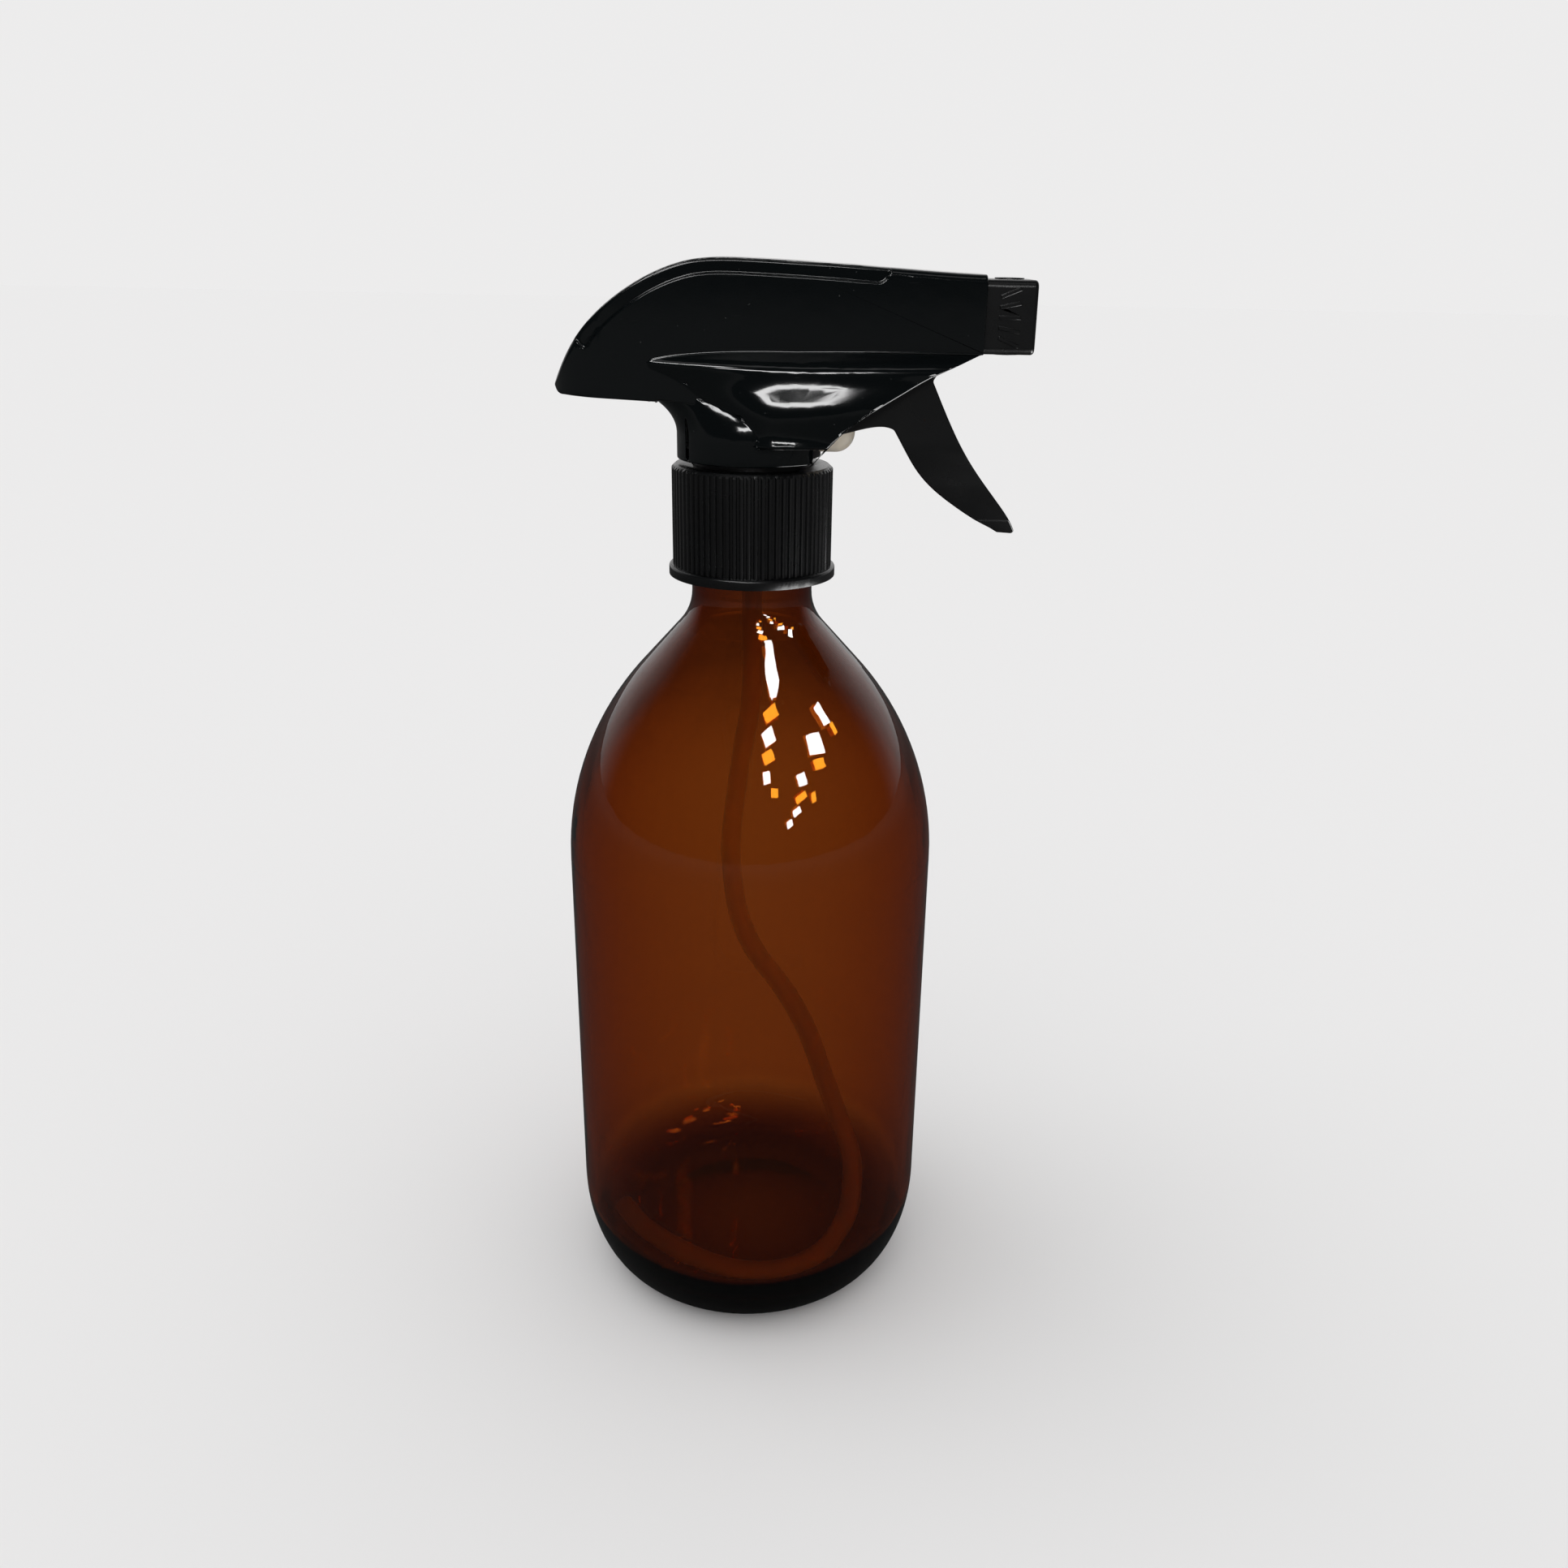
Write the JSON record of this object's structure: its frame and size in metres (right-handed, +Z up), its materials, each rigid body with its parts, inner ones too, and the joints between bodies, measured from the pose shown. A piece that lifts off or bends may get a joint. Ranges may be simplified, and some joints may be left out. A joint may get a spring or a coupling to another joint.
{
  "type": "trigger spray bottle",
  "caption": "Round amber glass bottle with a screw-on trigger spray head: shroud, trigger, pump, turning square nozzle and a dip tube.",
  "frame": {"origin": "centre of the bottle's foot, on the surface it stands on", "axes": "+Z up the bottle's axis, +X the way the nozzle points, +Y to the side"},
  "size_m": [0.0889, 0.0754, 0.2152],
  "materials": {
    "amber_glass": "polished",
    "gloss_black": "high gloss",
    "satin_black": "satin",
    "body_black": "plain moulded",
    "base_black": "plain moulded",
    "natural_plastic": "natural, milky",
    "tube_plastic": "natural, translucent",
    "grey_rubber": "foam gasket",
    "seal_rubber": "elastomer",
    "steel": "drawn wire and polished balls"
  },
  "bodies": {
    "bottle": {"bottle": "amber_glass"},
    "head": {"connector": "base_black", "gasket": "grey_rubber", "pump_body": "body_black", "shroud": "gloss_black", "dip_tube": "tube_plastic", "spinner": "natural_plastic"},
    "closure": {"collar": "satin_black"},
    "trigger": {"trigger": "satin_black"},
    "piston": {"piston": "natural_plastic", "piston_seal": "seal_rubber", "return_spring": "steel"},
    "nozzle": {"nozzle_cap": "satin_black"},
    "inlet_valve": {"inlet_ball": "steel"},
    "outlet_valve": {"outlet_ball": "steel"}
  },
  "joints": [
    {"name": "head_lift", "type": "slide", "parent": "bottle", "child": "head", "axis": [0, 0, 1], "range_m": [0, 0.0093]},
    {"name": "collar_turn", "type": "hinge", "parent": "head", "child": "closure", "pos_m": [0, 0, 0.17497], "axis": [0, 0, 1], "range_deg": [0, 730]},
    {"name": "trigger_pull", "type": "hinge", "parent": "head", "child": "trigger", "pos_m": [0.028, 0, 0.20447], "axis": [0, 1, 0], "range_deg": [0, 22], "stiffness_Nm_per_rad": 0.3, "springref_deg": -17.19},
    {"name": "piston_slide", "type": "slide", "parent": "head", "child": "piston", "axis": [-1, 0, 0], "range_m": [0, 0.0064], "deforming": ["return_spring"]},
    {"name": "nozzle_turn", "type": "hinge", "parent": "head", "child": "nozzle", "pos_m": [0.0465, 0, 0.20587], "axis": [1, 0, 0], "continuous": true},
    {"name": "inlet_valve_lift", "type": "slide", "parent": "head", "child": "inlet_valve", "axis": [0, 0, 1], "range_m": [0, 0.001]},
    {"name": "outlet_valve_lift", "type": "slide", "parent": "head", "child": "outlet_valve", "axis": [0, 0, 1], "range_m": [0, 0.0015]}
  ],
  "couplings": [
    {"joint": "head_lift", "follows": "collar_turn", "m_per_rad": 0.0006737},
    {"joint": "piston_slide", "follows": "trigger_pull", "m_per_rad": 0.0162}
  ]
}
